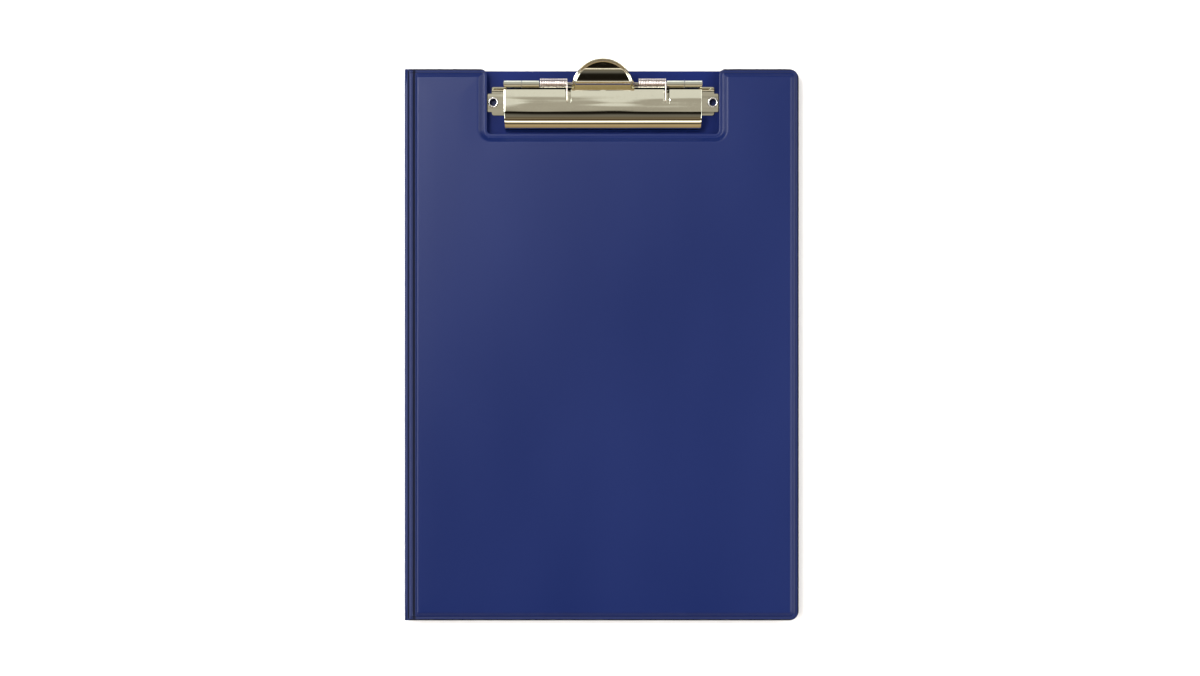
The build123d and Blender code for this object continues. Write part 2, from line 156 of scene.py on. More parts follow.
class ClipSizes(bpy.types.PropertyGroup):
    """Sizes of the clip's jaw and rivets."""
    sheet: length("Sheet", "Thickness of the steel sheet", 0.0008)
    bore: length("Bore", "Inner radius of the knuckles", 0.00105)
    rear: length("Rear edge", "Rod axis to the jaw's rear edge", 0.0030)
    flat: length("Flat", "Length of the jaw's flat", 0.0127)
    wave: length("Wave", "Height of the slow waves where the flat meets the lip", 0.000022)
    lip: length("Lip radius", "Outer radius of the curved lip", 0.0133)
    knee: angle("Knee", "Where the lip's tighter bend starts", 47)
    foot: length("Foot radius", "Radius of the lip's tighter bend", 0.0025)
    lip_turn: angle("Lip turn", "How far the lip turns down", 82)
    shin: length("Shin", "Straight run at the lip's end", 0.0035)
    rolled: length("Rolled end", "Drop of the jaw's ends over their last half millimetre", 0.00008)
    taper: length("Lip taper", "How far the lip's ends are drawn in", 0.0008)
    knuckle: length("Knuckle", "Width of a knuckle", 0.0100)
    knuckle_gap: length("Knuckle gap", "Gap between neighbouring knuckles", 0.0003)
    seam: angle("Seam", "Where the jaw's curl ends, from the top", 55)
    bow: length("Bow", "Fall of the flat towards its rear edge", 0.00010)
    tab: length("Tab radius", "Radius of the thumb tab's half round", 0.0175)
    tab_wide: length("Tab widening", "How much wider than its radius the tab is on each side", 0.0006)
    tab_centre: length("Tab centre", "Rod axis to the centre of the half round", 0.0037)
    ramp: angle("Ramp", "Slope of the tab's ramp at its foot", 62)
    ramp_soft: angle("Upper ramp", "Slope of the tab's ramp near its top", 48)
    ramp_from: length("Ramp foot", "Rod axis to the ramp's foot", 0.0033)
    ramp_middle: length("Ramp middle", "Rod axis to where the ramp softens", 0.0009)
    ramp_to: length("Ramp top", "Rod axis to the ramp's top", -0.0006)
    dish: angle("Dish", "Slope of the tab's dish", 5.4)
    dish_middle: length("Dish middle", "Rod axis to where the dish steepens", -0.00565)
    dish_rise: angle("Dish rise", "Slope of the dish near its upturned end", 11)
    dish_to: length("Dish end", "Rod axis to the dish's upturned end", -0.0077)
    upturn: angle("Upturn", "Slope of the dish's end", 31.8)
    cheek: length("Cheek", "Height of the tab's rim", 0.0020)
    roll: length("Roll", "Drop of the rim's rolled edge at the rear", 0.0007)
    slot: length("Slot", "Width of a leg slot", 0.0032)
    slot_long: length("Slot length", "Length of a leg slot", 0.0068)
    rivet_bore: length("Rivet bore", "Radius of the rivet's bore", 0.0020)
    rivet_head: length("Rivet head", "Radius of the rivet's rolled head", 0.0031)


class SpringSizes(bpy.types.PropertyGroup):
    """Sizes of the torsion springs."""
    wire: length("Wire", "Diameter of the spring wire", 0.00062)
    coil: length("Coil", "Radius of the coil at the wire's centre", 0.0022)
    turns: bpy.props.IntProperty(name="Turns", description="Turns of a coil", default=16, min=1)
    back: length("Offset", "Coil axis behind the rod axis", 0.0007)
    leg_slope: angle("Moving leg", "Slope of the leg in the jaw's slot", 15.3)
    fixed_slope: angle("Fixed leg", "Slope of the leg at the rear wall", 60)
    fixed_long: length("Fixed leg length", "Length of the leg at the rear wall", 0.0056)
    reach: length("Leg reach", "Rod axis to the moving leg's tip", 0.0104)


class Finishes(bpy.types.PropertyGroup):
    """Colours of the folder."""
    foil: colour("Foil", "Blue foil of the covers", (0.0022, 0.0095, 0.068))
    lining: colour("Lining", "Blue foil of the inner faces", (0.0030, 0.0105, 0.085))
    pocket: colour("Pocket", "Foil of the inner pocket", (0.022, 0.032, 0.16))
    board: colour("Board", "Raw grey board", (0.36, 0.32, 0.27))
    plate: colour("Plating", "Nickel plating of the clip", (0.79, 0.82, 0.69))
    wire: colour("Wire", "Plating of the springs", (0.74, 0.67, 0.64))
    # the rod's colour is the drawn steel's, darkened further as painted shade so that the gaps between the
    # spring's turns read dark
    rod: colour("Rod", "Drawn steel of the hinge rod", (0.30, 0.28, 0.25))
    rivet: colour("Rivets", "Plating of the rivets", (0.86, 0.85, 0.83))
    floor: colour("Floor", "Pale floor", (0.93, 0.93, 0.93))


# Meshes

def smooth(t):
    """An S curve from 0 to 1: t squared times (3 - 2t), held at its ends."""
    t = np.clip(t, 0, 1)
    return t * t * (3 - 2 * t)


def hump(t):
    """A half sine wave over 0 to 1, and 0 elsewhere."""
    return np.sin(np.pi * np.clip(t, 0, 1))


def grid_faces(rows, columns, closed=False):
    """The quads of a grid of points stored row by row; closed joins the last column to the first."""
    last = columns if closed else columns - 1
    r, c = np.meshgrid(np.arange(rows - 1), np.arange(last), indexing="ij")
    n = (c + 1) % columns
    low, high = r * columns, (r + 1) * columns
    return np.stack([low + c, low + n, high + n, high + c], axis=-1).reshape(-1, 4)


def piece(name, parts, material, body=None):
    """One smooth-shaded object from a list of (points, faces), placed by its mesh alone."""
    verts, faces, start = [], [], 0
    for points, quads in parts:
        points = np.asarray(points, float).reshape(-1, 3)
        verts.append(points)
        faces += [tuple(np.asarray(q) + start) for q in quads]
        start += len(points)
    mesh = bpy.data.meshes.new(name)
    mesh.from_pydata(np.concatenate(verts), [], faces)
    mesh.validate()
    mesh.shade_smooth()
    mesh.materials.append(material)
    thing = bpy.data.objects.new(name, mesh)
    bpy.context.scene.collection.objects.link(thing)
    if body:
        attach(thing, body)
    return thing


def thicken(thing, thickness, bevel):
    """Gives a sheet its thickness behind its face, and rounds the cut edges."""
    solid = thing.modifiers.new("thickness", "SOLIDIFY")
    solid.thickness = thickness
    solid.offset = -1
    solid.use_even_offset = True
    round_off = thing.modifiers.new("rounded edges", "BEVEL")
    round_off.width = bevel
    round_off.segments = 3
    round_off.limit_method = "ANGLE"
    round_off.angle_limit = math.radians(50)
    round_off.harden_normals = True


# Foil skins

def corner_arc(vertex, along, away, radius, steps=9):
    """Points of the quarter round that joins two square edges at a vertex."""
    turn = np.linspace(0, np.pi / 2, steps)[:, None]
    centre = vertex - along * radius + away * radius
    return centre + radius * (-away * np.cos(turn) + along * np.sin(turn))


def skin_ring(sizes, inset, from_left, notched, y_top):
    """One ring of a panel's plan: the outline drawn in by inset, its left edge at from_left.

    Every corner is a quarter round; the runs beside the spine's corners have extra points. Returns the
    plan points and each point's distance from the free edges."""
    x0, x1 = LEFT + from_left, RIGHT - inset
    y0, y1 = BOTTOM + inset, y_top - inset
    near = np.array([0.6, 1.2, 1.8, 2.4, 3.2, 4.2, 6.0, 10.0]) / 1000
    outer = max(sizes.corner - inset, SMALLEST_CORNER)
    mouth = max(sizes.notch_mouth - inset, SMALLEST_MOUTH)
    inner = sizes.notch_corner + inset
    corners = [((x1, y0), outer), ((x1, y1), outer)]
    if notched:
        half = sizes.notch / 2 + inset
        floor = y_top - sizes.notch_depth - inset
        corners += [((CLIP_X + half, y1), mouth), ((CLIP_X + half, floor), inner)]
        corners += [((CLIP_X - half, floor), inner), ((CLIP_X - half, y1), mouth)]
    path = [np.array([[x0, y0]]), np.stack([x0 + near, np.full(len(near), y0)], 1)]
    vertices = [np.array(v) for v in [(x0, y0)] + [place for place, radius in corners] + [(x0, y1)]]
    radii = [radius for place, radius in corners]
    for before, here, after, radius in zip(vertices, vertices[1:], vertices[2:], radii):
        along = here - before
        away = after - here
        path.append(corner_arc(here, along / np.abs(along).sum(), away / np.abs(away).sum(), radius))
    path += [np.stack([x0 + near[::-1], np.full(len(near), y1)], 1), np.array([[x0, y1]])]
    down = np.concatenate([y1 - near, y0 + near[::-1]])
    plan = np.concatenate(path)
    free = np.full(len(plan), inset)
    side = np.stack([np.full(len(down), x0), down], 1)
    side_free = inset + np.concatenate([near, near[::-1]])
    return np.concatenate([plan, side]), np.concatenate([free, side_free])


def skin_height(sizes, x, free):
    """Height of the foil over the weld plane, from X and the distance to the free edges.

    The foil's thickness, plus the board's swelling behind the rim and the groove, plus a half-sine ridge
    and bead, less half-sine lines for the crease, the groove and the dip behind the bead, less the dropped
    outer edge and a pillow that fades inwards as a bell curve of the distance."""
    s = sizes
    inside = smooth((free - s.rim) / PILLOW_EASE)
    across = x - LEFT - s.crease_from
    after = across - s.crease - s.ridge
    raised = np.minimum(smooth((free - s.rim) / s.slope), smooth((after - s.groove) / s.band_slope))
    ridge = s.ridge_height * hump((across - s.crease) / s.ridge)
    press_and_painted_shade = s.press * (hump(across / s.crease) + hump(after / s.groove))
    inward = np.clip(np.minimum(free, across) - s.pillow_from, 0, None)
    pillow = s.pillow * inside * np.exp(-(inward / s.pillow_reach) ** 2)
    bead = s.bead * (hump((free - BEAD_FROM) / BEAD_WIDE) - hump((free - DIP_FROM) / DIP_WIDE))
    edge = s.edge * (1 - smooth(free / EDGE_WIDE))
    lines = smooth((free - LINES_FROM) / LINES_EASE) * (ridge - press_and_painted_shade)
    return s.thick + (s.swell - pillow) * raised + lines + bead - edge


def painted_shade_share(sizes, x, y, y_top):
    """How much shade is painted into the foil's colour, from 0 to 1: in the fold's crease and weld groove,
    and on the weld's outer edge and inner line, each a hump or a step of the distance to it. The groove's is
    a hump's root."""
    outer = np.minimum(RIGHT - x, np.minimum(y - BOTTOM, y_top - y))
    across = x - LEFT - sizes.crease_from
    after = across - sizes.crease - sizes.ridge
    # painted shade of the crease and the groove, then of the weld's outer edge and inner line
    lines = hump(across / sizes.crease) + hump(after / sizes.groove) ** 0.5
    rim = DARK_EDGE * (1 - smooth((outer - DARK_EDGE_TO) / DARK_EDGE_EASE))
    rim = rim + DARK_LINE * hump((outer - DARK_LINE_FROM) / DARK_LINE_WIDE)
    inside = smooth((outer - FADE_FROM) / FADE_EASE)
    return np.clip(lines * inside + rim * (across > sizes.crease), 0, 1)


def foil_skin(name, sizes, material, body, replaced, notched, y_top, weld_z, up):
    """A cover's outer foil: rings carried in from the outline, closed by one flat face.

    Each ring has its own distance from the spine's edge and from the free edges."""
    lefts = np.array([1.5, 1.7, 1.9, 2.1, 2.3, 2.5, 2.7, 2.9, 3.1, 3.4, 3.8, 4.2, 4.5, 4.7, 5.0, 5.5, 6.0,
                      6.4, 6.7, 7.0, 7.3, 7.6, 8.4, 9.4, 10.6, 12.0, 14.0, 16.5, 19.0]) / 1000
    insets = np.array([0, 0.1, 0.2, 0.3, 0.5, 0.8, 1.2, 1.5, 1.7, 1.9, 2.1, 2.3, 2.6, 2.9, 3.2, 3.5, 3.8,
                       4.1, 4.4, 4.7, 5.1, 5.6, 6.5, 7.6, 8.8, 10.2, 12.0, 14.2, 16.5]) / 1000
    points = []
    for inset, from_left in zip(insets, lefts):
        plan, free = skin_ring(sizes, inset, from_left, notched, y_top)
        height = skin_height(sizes, plan[:, 0], free)
        points.append(np.column_stack([plan, weld_z + up * height]))
    columns = len(points[0])
    quads = grid_faces(len(points), columns, closed=True)
    middle = np.arange(columns) + (len(points) - 1) * columns
    faces = [list(q) for q in quads] + [list(middle)]
    if up < 0:
        faces = [f[::-1] for f in faces]
    points = np.concatenate(points)
    skin = piece(name, [(points, faces)], material, body)
    # painted shade: the share by which the foil's colour is darkened in the crease, the weld groove and along
    # the weld's edges
    press_and_painted_shade = painted_shade_share(sizes, points[:, 0], points[:, 1], y_top)
    skin.data.attributes.new("press_and_painted_shade", "FLOAT", "POINT").data.foreach_set("value", press_and_painted_shade)
    solid = skin.modifiers.new("thickness", "SOLIDIFY")
    solid.thickness = sizes.thick * SKIN_SHARE
    solid.offset = -1
    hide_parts(replaced)


def fold_strip(name, sizes, material, up):
    """Half of the spine: from the wall's middle round a quarter fold onto the panel, carried along Y.

    The section is a straight run, a quarter circle and a straight run, each with its own points."""
    weld, other = (FRONT_WELD, BACK_WELD) if up > 0 else (BACK_WELD, FRONT_WELD)
    z_face = weld + up * (sizes.thick - FOLD_UNDER)
    z_middle = (weld + other) / 2
    r = sizes.fold
    turn = np.linspace(0, np.pi / 2, 13)
    rise = np.linspace(z_middle, z_face - up * r, 6)[:-1]
    run = np.linspace(LEFT + r, LEFT + sizes.crease_from - FOLD_SHORT, 3)[1:]
    x = np.concatenate([np.full(len(rise), LEFT), LEFT + r * (1 - np.cos(turn)), run])
    z = np.concatenate([rise, z_face - up * r * (1 - np.sin(turn)), np.full(len(run), z_face)])
    y_top = FRONT_HIGH[1] if up > 0 else BACK_HIGH[1]
    y = np.linspace(BOTTOM, y_top, 33)[:, None]
    points = np.stack(np.broadcast_arrays(x, y, z), axis=-1)
    quads = grid_faces(len(y), len(x))
    if up < 0:
        quads = quads[:, ::-1]
    strip = piece(name, [(points, quads)], material, None)
    solid = strip.modifiers.new("thickness", "SOLIDIFY")
    solid.thickness = 2 * sizes.thick * STRIP_SHARE
    solid.offset = -1
    return strip


# Clip

def side_points(x, u, w):
    """Points from the clip's own measures: across, in front of the rod axis, and above it."""
    x, u, w = np.broadcast_arrays(x, u, w)
    return np.stack([CLIP_X + x, ROD_Y - u, ROD_Z + w], axis=-1)


def jaw_plate(s, slots):
    """The jaw's top face: its rear edge, cut back by the slots and the tab, then a flat and a round lip.

    Each column of points runs from the rear edge to the lip, which is a wide arc, a tighter arc and a
    straight run. The edge is a straight line with two round ended slots, whose ends are half circles, and a
    straight step at the tab. The flat falls by a sine towards its rear edge. Two slow sine waves along X,
    the shorter at half height, lie where the flat meets the lip. S curves drop the face at its two ends and
    draw the lip's ends in."""
    half = (JAW_HIGH[0] - JAW_LOW[0]) / 2
    r = s.slot / 2
    ends = half - np.array([0.08, 0.16, 0.24, 0.32, 0.4, 0.5]) / 1000
    knots = [np.linspace(-half, half, 60), ends, -ends]
    for x in slots:
        knots.append(x + r * np.sin(np.linspace(-np.pi / 2, np.pi / 2, 15)))
        knots.append(np.array([x - r - TINY, x + r + TINY]))
    knots.append(np.array([-s.tab - TINY, -s.tab, s.tab, s.tab + TINY]))
    x = np.unique(np.concatenate(knots))
    rear = np.full(len(x), s.rear)
    for centre in slots:
        inside = np.abs(x - centre) <= r + TINY / 2
        round_end = s.rear + s.slot_long - r + np.sqrt(np.clip(r * r - (x - centre) ** 2, 0, None))
        rear = np.where(inside, round_end, rear)
    rear = np.where(np.abs(x) <= s.tab + TINY / 2, s.tab_centre - s.sheet * TAB_LAP, rear)
    flat_end = s.rear + s.flat
    share = np.linspace(0, 1, 13)[:, None]
    u_flat = rear + (flat_end - rear) * share
    bow = s.bow * (1 - np.sin(np.pi / 2 * np.clip((u_flat - s.rear) / s.flat, 0, 1)))
    w_flat = -s.bore - bow
    turn = np.linspace(0, s.knee, 29)[1:, None]
    bend = np.linspace(s.knee, s.lip_turn, 11)[1:, None]
    run = s.shin * np.array([[0.5], [1.0]])
    u_foot = s.lip * np.sin(s.knee) + s.foot * (np.sin(bend) - np.sin(s.knee))
    w_foot = s.lip * (1 - np.cos(s.knee)) + s.foot * (np.cos(s.knee) - np.cos(bend))
    u_lip = np.concatenate([s.lip * np.sin(turn), u_foot])
    w_lip = np.concatenate([s.lip * (1 - np.cos(turn)), w_foot])
    u_lip = np.concatenate([u_lip, u_lip[-1:] + run * np.cos(s.lip_turn)])
    w_lip = np.concatenate([w_lip, w_lip[-1:] + run * np.sin(s.lip_turn)])
    u = np.concatenate([u_flat, flat_end + u_lip + 0 * x])
    w = np.concatenate([w_flat, -s.bore - w_lip + 0 * x])
    w = w - s.rolled * (1 - smooth((half - np.abs(x)) / ROLLED_WIDE))
    waves = np.sin(x / WAVE_LONG + 1) + np.sin(x / WAVE_SHORT) / 2
    w = w + s.wave * waves * hump((u - flat_end + WAVE_BEHIND) / WAVE_OVER)
    drawn = 1 - s.taper / half * smooth((u - flat_end) / (s.lip * TAPER_REACH))
    return side_points(x * drawn, u, w), grid_faces(len(u), len(x))[:, ::-1]


def jaw_curl(s, x0, x1):
    """A knuckle: the sheet's upper face runs back under the rod with a slight rise, then round it in an
    arc of the bore's radius, carried along X."""
    turn = np.linspace(-np.pi, s.seam, 41)
    u = np.concatenate([[s.rear, s.rear - KNUCKLE_STEP, s.rear / 2], s.bore * np.sin(turn)])
    rise = KNUCKLE_RISE * np.array([0, KNUCKLE_STEP / (s.rear / 2), 1])
    w = np.concatenate([rise - s.bore, s.bore * np.cos(turn)])
    x = np.linspace(x0, x1, 3)[:, None]
    return side_points(x, u, w), grid_faces(len(x), len(u))[:, ::-1]


def tab_height(s):
    """The tab's side view as a table: a slope that eases from ramp to dish to upturned end, added up.

    Each step has its place, the length over which it eases in, and its change of slope."""
    u = np.linspace(s.tab_centre, s.tab_centre - s.tab, 400)
    ramp, ramp_soft = math.tan(s.ramp), math.tan(s.ramp_soft)
    dish, dish_rise = math.tan(s.dish), math.tan(s.dish_rise)
    steps = [(s.ramp_from, 0.0008, ramp), (s.ramp_middle, 0.0024, ramp_soft - ramp),
             (s.ramp_to, 0.0020, dish - ramp_soft), (s.dish_middle, 0.0024, dish_rise - dish),
             (s.dish_to, 0.0010, math.tan(s.upturn) - dish_rise)]
    slope = sum(rise * smooth((place + ease / 2 - u) / ease) for place, ease, rise in steps)
    w = -s.bore + np.concatenate([[0], np.cumsum((slope[1:] + slope[:-1]) / 2 * -np.diff(u))])
    return u[::-1], w[::-1]


def thumb_tab(s):
    """The tab's upper face on a half-round grid of angle and distance from its edge.

    Its height is the side view's at that place, plus a rim near the edge, less a roll at the edge itself.
    Both are S curves of the distance from the edge, and both fade at the feet."""
    turn = np.linspace(-np.pi / 2, np.pi / 2, 97)[None, :]
    radius = s.tab - s.sheet * TAB_INSET
    rim_rows = [0, 0.0001, 0.00025, 0.00045, 0.0007]
    dish_rows = np.arange(0.00095, radius - 0.0002, 0.0004)
    inward = np.concatenate([rim_rows, dish_rows])[:, None]
    x = (s.tab + s.tab_wide - inward) * np.sin(turn)
    u = s.tab_centre - (radius - inward) * np.cos(turn)
    table_u, table_w = tab_height(s)
    side = np.sin(turn) ** 2
    rim = 1 - smooth((inward - RIM_FROM) / (RIM_WIDE + RIM_WIDER * side))
    rim = s.cheek * (1 - RIM_LOWER * side) * rim
    rim = rim - (s.roll - ROLL_LESS * side) * (1 - smooth(inward / ROLL_WIDE))
    w = np.interp(u, table_u, table_w) + rim * smooth((s.tab_centre - FEET_FROM - u) / FEET_FADE)
    return side_points(x, u, w), grid_faces(len(inward), turn.shape[1])[:, ::-1]


def spring_line(s, x0, x1):
    """The wire's centre line: a straight fixed leg, a helix, and a straight moving leg."""
    start = -np.pi + s.fixed_slope
    stop = s.turns * 2 * np.pi + s.leg_slope
    turn = np.linspace(start, stop, s.turns * TURN_POINTS + 1)
    across = np.linspace(x0, x1, len(turn))
    helix = side_points(across, -s.back + s.coil * np.sin(turn), s.coil * np.cos(turn))
    first, last = helix[0], helix[-1]
    fixed_way = np.array([0, np.cos(start), np.sin(start)])
    moving_way = np.array([0, -np.cos(stop), -np.sin(stop)])
    moving_long = (last[1] - (ROD_Y - s.reach)) / math.cos(s.leg_slope)
    lead = first + fixed_way * np.linspace(s.fixed_long, LEG_START, 8)[:, None]
    tail = last + moving_way * np.linspace(LEG_START, moving_long, 8)[:, None]
    return np.concatenate([lead, helix, tail])


def tube(line, radius, sides=10):
    """A round wire carried along a line: at each point a circle square to the line, with closed ends."""
    along = np.gradient(line, axis=0)
    along /= np.linalg.norm(along, axis=1)[:, None]
    first = np.array([1.0, 0, 0]) - along * along[:, :1]
    first /= np.linalg.norm(first, axis=1)[:, None]
    second = np.cross(along, first)
    turn = np.linspace(0, 2 * np.pi, sides, endpoint=False)
    ring = first[:, None] * np.cos(turn)[:, None] + second[:, None] * np.sin(turn)[:, None]
    points = line[:, None] + ring * radius
    quads = grid_faces(len(line), sides, closed=True)
    ends = [list(range(sides))[::-1], list(np.arange(sides) + (len(line) - 1) * sides)]
    return points, [list(q) for q in quads] + ends


def lathe(x, y, profile, sides=64):
    """A closed profile of (radius, height), carried round a circle about an upright axis."""
    turn = np.linspace(0, 2 * np.pi, sides, endpoint=False)
    r, z = np.array(profile).T
    points = np.stack([x + r[:, None] * np.cos(turn), y + r[:, None] * np.sin(turn),
                       np.tile(z[:, None], (1, sides))], axis=-1)
    quads = grid_faces(len(profile) + 1, sides, closed=True) % (len(profile) * sides)
    return points, quads[:, ::-1]


def rivet_profile(s):
    """Half section of the hollow rivet: bore, head as half an ellipse, barrel and square tail."""
    head_z = INNER_HIGH[2] + s.sheet
    tail_z = RIVET_LOW[2]
    barrel = s.rivet_bore + RIVET_WALL
    seat = tail_z + TAIL_THICK
    middle = (s.rivet_bore + s.rivet_head) / 2
    reach = (s.rivet_head - s.rivet_bore) / 2
    turn = np.linspace(np.pi, 0, 13)
    roll = [(middle + reach * math.cos(t), head_z + HEAD_RISE * math.sin(t)) for t in turn]
    tail = RIVET_HIGH[0] - (RIVET_LOW[0] + RIVET_HIGH[0]) / 2
    low = [(s.rivet_head, head_z), (barrel, head_z), (barrel, seat), (tail, seat)]
    return [(s.rivet_bore, tail_z)] + roll + low + [(tail, tail_z)]


# Materials

def node(tree, kind, **values):
    """A shader node with its settings and socket values."""
    made = tree.nodes.new(kind)
    for key, value in values.items():
        if hasattr(made, key):
            setattr(made, key, value)
        else:
            made.inputs[key.replace("_", " ")].default_value = value
    return made


def new_group(name, outputs, inputs):
    """An empty node group with named sockets."""
    group = bpy.data.node_groups.new(name, "ShaderNodeTree")
    for socket, kind, value in inputs:
        made = group.interface.new_socket(socket, in_out="INPUT", socket_type=kind)
        made.default_value = value
    for socket, kind in outputs:
        group.interface.new_socket(socket, in_out="OUTPUT", socket_type=kind)
    return group


def embossed_foil():
    """Fine leather-like emboss, slow waves of a stretched foil, and a cloudy change of tone."""
    if "embossed foil" in bpy.data.node_groups:
        return bpy.data.node_groups["embossed foil"]
    number = "NodeSocketFloat"
    tree = new_group("embossed foil", [("Height", number), ("Tone", number)],
                     [("Grain", number, 900.0), ("Grain Depth", number, 0.25), ("Waves", number, 14.0)])
    inward = node(tree, "NodeGroupInput")
    outward = node(tree, "NodeGroupOutput")
    place = node(tree, "ShaderNodeTexCoord")
    grain = node(tree, "ShaderNodeTexVoronoi", feature="SMOOTH_F1")
    fine = node(tree, "ShaderNodeTexNoise", Detail=4.0)
    waves = node(tree, "ShaderNodeTexNoise", Detail=2.0, Roughness=0.4)
    stretch = node(tree, "ShaderNodeMapping")
    stretch.inputs["Scale"].default_value = (1.0, 0.45, 1.0)
    link = tree.links.new
    link(place.outputs["Object"], grain.inputs["Vector"])
    link(place.outputs["Object"], fine.inputs["Vector"])
    link(place.outputs["Object"], stretch.inputs["Vector"])
    link(stretch.outputs["Vector"], waves.inputs["Vector"])
    link(inward.outputs["Grain"], grain.inputs["Scale"])
    link(inward.outputs["Grain"], fine.inputs["Scale"])
    link(inward.outputs["Waves"], waves.inputs["Scale"])
    pair = node(tree, "ShaderNodeMath", operation="ADD")
    link(grain.outputs["Distance"], pair.inputs[0])
    link(fine.outputs["Fac"], pair.inputs[1])
    depth = node(tree, "ShaderNodeMath", operation="MULTIPLY")
    link(pair.outputs[0], depth.inputs[0])
    link(inward.outputs["Grain Depth"], depth.inputs[1])
    swell = node(tree, "ShaderNodeMath", operation="MULTIPLY_ADD")
    swell.inputs[1].default_value = 9.0
    link(waves.outputs["Fac"], swell.inputs[0])
    link(depth.outputs[0], swell.inputs[2])
    link(swell.outputs[0], outward.inputs["Height"])
    link(waves.outputs["Fac"], outward.inputs["Tone"])
    return tree


def worn_plating():
    """Drawn lines along the sheet, small spots and a cloudy tone, for bright plated steel."""
    if "worn plating" in bpy.data.node_groups:
        return bpy.data.node_groups["worn plating"]
    number = "NodeSocketFloat"
    tree = new_group("worn plating", [("Height", number), ("Dull", number), ("Tone", number)],
                     [("Lines", number, 220.0), ("Spots", number, 420.0)])
    inward = node(tree, "NodeGroupInput")
    outward = node(tree, "NodeGroupOutput")
    place = node(tree, "ShaderNodeTexCoord")
    along = node(tree, "ShaderNodeMapping")
    along.inputs["Scale"].default_value = (0.06, 1.0, 1.0)
    waves = node(tree, "ShaderNodeTexNoise", Detail=1.0)
    spots = node(tree, "ShaderNodeTexNoise", Detail=6.0, Roughness=0.7)
    clouds = node(tree, "ShaderNodeTexNoise", Scale=45.0, Detail=3.0)
    dull = node(tree, "ShaderNodeMapRange", From_Min=0.45, From_Max=0.8)
    link = tree.links.new
    link(place.outputs["Object"], along.inputs["Vector"])
    link(along.outputs["Vector"], waves.inputs["Vector"])
    link(place.outputs["Object"], spots.inputs["Vector"])
    link(place.outputs["Object"], clouds.inputs["Vector"])
    link(inward.outputs["Lines"], waves.inputs["Scale"])
    link(inward.outputs["Spots"], spots.inputs["Scale"])
    link(spots.outputs["Fac"], dull.inputs["Value"])
    link(waves.outputs["Fac"], outward.inputs["Height"])
    link(dull.outputs["Result"], outward.inputs["Dull"])
    link(clouds.outputs["Fac"], outward.inputs["Tone"])
    return tree


def start_material(name):
    """A new material with its tree and its shader."""
    made = bpy.data.materials.new(name)
    made.use_nodes = True
    return made, made.node_tree, made.node_tree.nodes["Principled BSDF"]


def tone_mix(tree, factor, base, low, high):
    """A colour that runs between two strengths of a base colour."""
    mix = node(tree, "ShaderNodeMix", data_type="RGBA")
    mix.inputs["A"].default_value = [c * low for c in base] + [1]
    mix.inputs["B"].default_value = [c * high for c in base] + [1]
    tree.links.new(factor, mix.inputs["Factor"])
    return mix.outputs["Result"]


def bump(tree, shader, height, strength, distance):
    """Feeds a height into the shader's normal."""
    made = node(tree, "ShaderNodeBump", Strength=strength, Distance=distance)
    tree.links.new(height, made.inputs["Height"])
    tree.links.new(made.outputs["Normal"], shader.inputs["Normal"])


def foil_material(name, base, rough, grain_depth, shine=0.25):
    """Embossed vinyl foil, with painted shade darkening its colour, and a raised roughness, where the piece's
    own attribute marks the crease, the weld groove and the weld's edges.
    """
    made, tree, shader = start_material(name)
    surface = node(tree, "ShaderNodeGroup")
    surface.node_tree = embossed_foil()
    surface.inputs["Grain Depth"].default_value = grain_depth
    press_and_painted_shade = node(tree, "ShaderNodeAttribute", attribute_name="press_and_painted_shade")
    # painted shade: the foil's colour at a tenth of its strength where the attribute is full
    painted_shade_mix = node(tree, "ShaderNodeMix", data_type="RGBA")
    painted_shade_mix.inputs["B"].default_value = [c * 0.10 for c in base] + [1]
    tree.links.new(press_and_painted_shade.outputs["Fac"], painted_shade_mix.inputs["Factor"])
    tree.links.new(tone_mix(tree, surface.outputs["Tone"], base, 0.86, 1.14), painted_shade_mix.inputs["A"])
    tree.links.new(painted_shade_mix.outputs["Result"], shader.inputs["Base Color"])
    gloss = node(tree, "ShaderNodeMapRange", To_Min=rough - 0.05, To_Max=rough + 0.07)
    tree.links.new(surface.outputs["Tone"], gloss.inputs["Value"])
    matt = node(tree, "ShaderNodeMath", operation="MULTIPLY_ADD")
    matt.inputs[1].default_value = 0.6
    tree.links.new(press_and_painted_shade.outputs["Fac"], matt.inputs[0])
    tree.links.new(gloss.outputs["Result"], matt.inputs[2])
    tree.links.new(matt.outputs[0], shader.inputs["Roughness"])
    shader.inputs["Specular IOR Level"].default_value = shine
    bump(tree, shader, surface.outputs["Height"], 0.35, 0.00006)
    return made


def plating_material(name, base, rough, ripple):
    """Plated steel, duller in its spots."""
    made, tree, shader = start_material(name)
    surface = node(tree, "ShaderNodeGroup")
    surface.node_tree = worn_plating()
    tree.links.new(tone_mix(tree, surface.outputs["Tone"], base, 0.93, 1.05), shader.inputs["Base Color"])
    gloss = node(tree, "ShaderNodeMapRange", To_Min=rough, To_Max=rough + 0.07)
    tree.links.new(surface.outputs["Dull"], gloss.inputs["Value"])
    tree.links.new(gloss.outputs["Result"], shader.inputs["Roughness"])
    shader.inputs["Metallic"].default_value = 1.0
    bump(tree, shader, surface.outputs["Height"], ripple, 0.0006)
    return made


def board_material(name, base):
    """Raw grey board: pressed paper fibres and specks."""
    made, tree, shader = start_material(name)
    place = node(tree, "ShaderNodeTexCoord")
    fibres = node(tree, "ShaderNodeTexNoise", Scale=1400.0, Detail=8.0, Roughness=0.75)
    tree.links.new(place.outputs["Object"], fibres.inputs["Vector"])
    tree.links.new(tone_mix(tree, fibres.outputs["Fac"], base, 0.6, 1.35), shader.inputs["Base Color"])
    shader.inputs["Roughness"].default_value = 0.9
    bump(tree, shader, fibres.outputs["Fac"], 0.6, 0.0001)
    return made


def repaint(node_names, material):
    """Gives CAD nodes a finish in place of their plain one."""
    for name in node_names:
        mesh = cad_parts[name].data
        mesh.materials.clear()
        mesh.materials.append(material)


